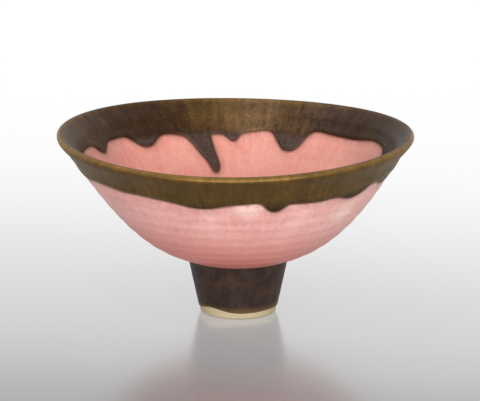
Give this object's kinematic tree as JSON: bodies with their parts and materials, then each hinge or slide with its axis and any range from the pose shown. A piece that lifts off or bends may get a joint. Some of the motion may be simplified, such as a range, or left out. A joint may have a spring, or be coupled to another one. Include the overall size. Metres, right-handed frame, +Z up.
{
  "type": "footed bowl",
  "caption": "Wide thrown bowl on a tall narrow hollow foot, pink inside and out, with a bronze glaze running down from the lip on both sides.",
  "frame": {"origin": "on the table, under the centre of the rim", "axes": "+Z up out of the bowl; -Y towards the side seen in front in the picture; +X to the right of it"},
  "size_m": [0.1822, 0.179, 0.0954],
  "materials": {
    "bowl_clay": "bare fired stoneware, under the glaze but for the ceiling of the foot",
    "foot_clay": "bare fired stoneware, smooth from turning, with fine grog",
    "slip": "fired slip in the joint",
    "pink_lining": "satin salmon pink glaze, slightly pitted",
    "pink_coat": "satin pale pink glaze, slightly pitted and mottled",
    "bronze_glaze": "running metallic oxide glaze, golden brown to near black",
    "dark_glaze": "dark brown oxide glaze, golden where it thins out"
  },
  "bodies": {
    "root": {"bowl_body": "bowl_clay", "foot_ring": "foot_clay", "slip_seam": "slip", "inside_glaze": "pink_lining", "outside_glaze": "pink_coat", "rim_glaze": "bronze_glaze", "foot_glaze": "dark_glaze"}
  },
  "joints": []
}
